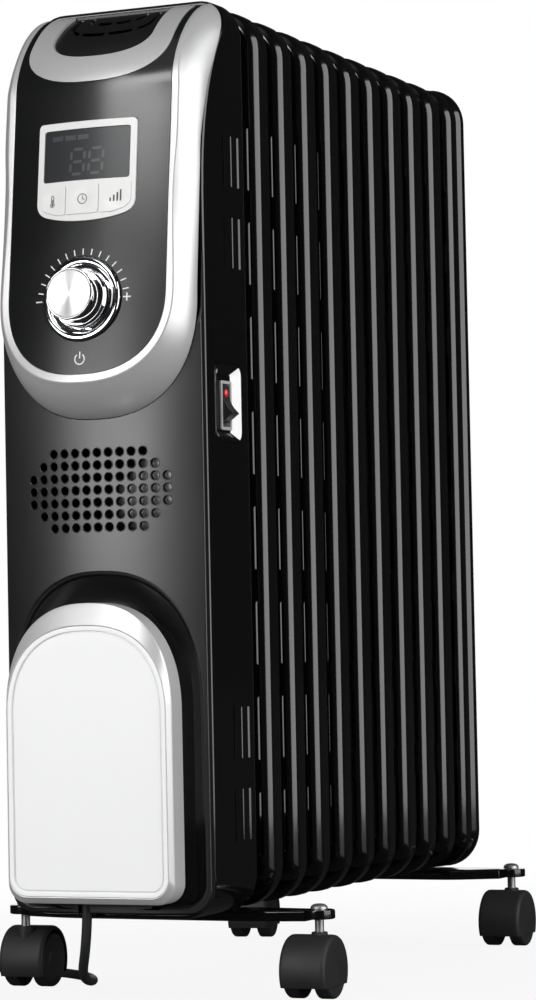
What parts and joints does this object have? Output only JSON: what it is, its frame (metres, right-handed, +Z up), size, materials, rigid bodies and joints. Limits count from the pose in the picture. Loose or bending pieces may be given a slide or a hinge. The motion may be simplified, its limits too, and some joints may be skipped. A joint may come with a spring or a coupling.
{
  "type": "oil filled radiator heater",
  "caption": "Oil filled radiator: pressed steel fins behind a control housing with display, knob, keys, rocker switch and cord cleat, on swivelling twin-wheel casters.",
  "frame": {"origin": "on the floor under the middle of the heater without its cord; the fins' mid-plane is X = 0", "axes": "+Z up, the control panel faces -Y, the rocker switch is on the +X side"},
  "size_m": [0.45, 0.5364, 0.6522],
  "materials": {
    "enamel_black": "gloss",
    "cover_black": "satin gloss",
    "panel_charcoal": "satin",
    "trim_silver": "satin metallic paint",
    "bezel_pearl": "satin pearl",
    "display_smoke": "gloss smoked",
    "print_light": "printed marks",
    "print_dark": "printed marks",
    "board_green": "matte",
    "chrome": "polished",
    "knob_aluminium": "spun",
    "black_plastic": "satin",
    "cleat_white": "satin",
    "cleat_silver": "satin metallic paint",
    "pocket_white": "satin",
    "switch_grey": "satin",
    "lens_red": "gloss",
    "element_steel": "drawn",
    "zinc": "zinc plated",
    "caster_black": "fine texture",
    "cord_black": "satin",
    "pin_brass": "nickel bright"
  },
  "bodies": {
    "heater": {"fin_01": "enamel_black", "fin_02": "enamel_black", "fin_03": "enamel_black", "fin_04": "enamel_black", "fin_05": "enamel_black", "fin_06": "enamel_black", "fin_07": "enamel_black", "fin_08": "enamel_black", "fin_09": "enamel_black", "fin_10": "enamel_black", "fin_11": "enamel_black", "housing_shell": "enamel_black", "front_cover": "cover_black", "console_surround": "trim_silver", "console_panel": "panel_charcoal", "top_arch_trim": "trim_silver", "top_vent_grille": "cover_black", "display_bezel": "bezel_pearl", "display_window": "display_smoke", "control_board": "board_green", "knob_ring": "chrome", "knob_encoder": "black_plastic", "cord_cleat": "cleat_white", "switch_pocket": "pocket_white", "switch_body": "switch_grey", "heating_element": "element_steel", "thermal_cutout": "black_plastic", "front_bracket": "enamel_black", "rear_bracket": "enamel_black", "front_u_bolt": "zinc", "rear_u_bolt": "zinc", "cord_gland": "cord_black", "cord_run": "cord_black", "cord_coil": "cord_black", "cord_tie": "black_plastic", "plug": "cord_black", "caster_stem_front_left": "zinc", "caster_stem_front_right": "zinc", "caster_stem_rear_left": "zinc", "caster_stem_rear_right": "zinc"},
    "knob": {"thermostat_knob": "chrome"},
    "key_temperature": {"button_temperature": "bezel_pearl"},
    "key_timer": {"button_timer": "bezel_pearl"},
    "key_power_level": {"button_power_level": "bezel_pearl"},
    "rocker": {"power_rocker": "black_plastic", "rocker_lens": "lens_red"},
    "caster_front_left": {"caster_hood_front_left": "caster_black"},
    "wheel_front_left_inner": {"wheel_front_left_inner": "caster_black"},
    "wheel_front_left_outer": {"wheel_front_left_outer": "caster_black"},
    "caster_front_right": {"caster_hood_front_right": "caster_black"},
    "wheel_front_right_inner": {"wheel_front_right_inner": "caster_black"},
    "wheel_front_right_outer": {"wheel_front_right_outer": "caster_black"},
    "caster_rear_left": {"caster_hood_rear_left": "caster_black"},
    "wheel_rear_left_inner": {"wheel_rear_left_inner": "caster_black"},
    "wheel_rear_left_outer": {"wheel_rear_left_outer": "caster_black"},
    "caster_rear_right": {"caster_hood_rear_right": "caster_black"},
    "wheel_rear_right_inner": {"wheel_rear_right_inner": "caster_black"},
    "wheel_rear_right_outer": {"wheel_rear_right_outer": "caster_black"}
  },
  "joints": [
    {"name": "knob_turn", "type": "hinge", "parent": "heater", "child": "knob", "pos_m": [0, -0.24799, 0.45461], "axis": [0, -0.994, 0.1096], "range_deg": [-100, 100]},
    {"name": "press_temperature", "type": "slide", "parent": "heater", "child": "key_temperature", "axis": [0, 0.994, -0.1096], "range_m": [0, 0.001], "stiffness_N_per_m": 400},
    {"name": "press_timer", "type": "slide", "parent": "heater", "child": "key_timer", "axis": [0, 0.994, -0.1096], "range_m": [0, 0.001], "stiffness_N_per_m": 400},
    {"name": "press_power_level", "type": "slide", "parent": "heater", "child": "key_power_level", "axis": [0, 0.994, -0.1096], "range_m": [0, 0.001], "stiffness_N_per_m": 400},
    {"name": "rocker_tilt", "type": "hinge", "parent": "heater", "child": "rocker", "pos_m": [0.06325, -0.1845, 0.3862], "axis": [0, 1, 0], "range_deg": [0, 14]},
    {"name": "swivel_front_left", "type": "hinge", "parent": "heater", "child": "caster_front_left", "pos_m": [-0.109, -0.13635, 0.04], "axis": [0, 0, 1], "continuous": true},
    {"name": "roll_front_left_inner", "type": "hinge", "parent": "caster_front_left", "child": "wheel_front_left_inner", "pos_m": [-0.10984, -0.12437, 0.0183], "axis": [0.9976, 0.0698, 0], "continuous": true},
    {"name": "roll_front_left_outer", "type": "hinge", "parent": "caster_front_left", "child": "wheel_front_left_outer", "pos_m": [-0.10984, -0.12437, 0.0183], "axis": [0.9976, 0.0698, 0], "continuous": true},
    {"name": "swivel_front_right", "type": "hinge", "parent": "heater", "child": "caster_front_right", "pos_m": [0.109, -0.13635, 0.04], "axis": [0, 0, 1], "continuous": true},
    {"name": "roll_front_right_inner", "type": "hinge", "parent": "caster_front_right", "child": "wheel_front_right_inner", "pos_m": [0.10942, -0.14834, 0.0183], "axis": [0.9994, 0.0349, 0], "continuous": true},
    {"name": "roll_front_right_outer", "type": "hinge", "parent": "caster_front_right", "child": "wheel_front_right_outer", "pos_m": [0.10942, -0.14834, 0.0183], "axis": [0.9994, 0.0349, 0], "continuous": true},
    {"name": "swivel_rear_left", "type": "hinge", "parent": "heater", "child": "caster_rear_left", "pos_m": [-0.109, 0.23065, 0.04], "axis": [0, 0, 1], "continuous": true},
    {"name": "roll_rear_left_inner", "type": "hinge", "parent": "caster_rear_left", "child": "wheel_rear_left_inner", "pos_m": [-0.11108, 0.24247, 0.0183], "axis": [0.9848, 0.1736, 0], "continuous": true},
    {"name": "roll_rear_left_outer", "type": "hinge", "parent": "caster_rear_left", "child": "wheel_rear_left_outer", "pos_m": [-0.11108, 0.24247, 0.0183], "axis": [0.9848, 0.1736, 0], "continuous": true},
    {"name": "swivel_rear_right", "type": "hinge", "parent": "heater", "child": "caster_rear_right", "pos_m": [0.109, 0.23065, 0.04], "axis": [0, 0, 1], "continuous": true},
    {"name": "roll_rear_right_inner", "type": "hinge", "parent": "caster_rear_right", "child": "wheel_rear_right_inner", "pos_m": [0.10942, 0.21866, 0.0183], "axis": [0.9994, 0.0349, 0], "continuous": true},
    {"name": "roll_rear_right_outer", "type": "hinge", "parent": "caster_rear_right", "child": "wheel_rear_right_outer", "pos_m": [0.10942, 0.21866, 0.0183], "axis": [0.9994, 0.0349, 0], "continuous": true}
  ]
}
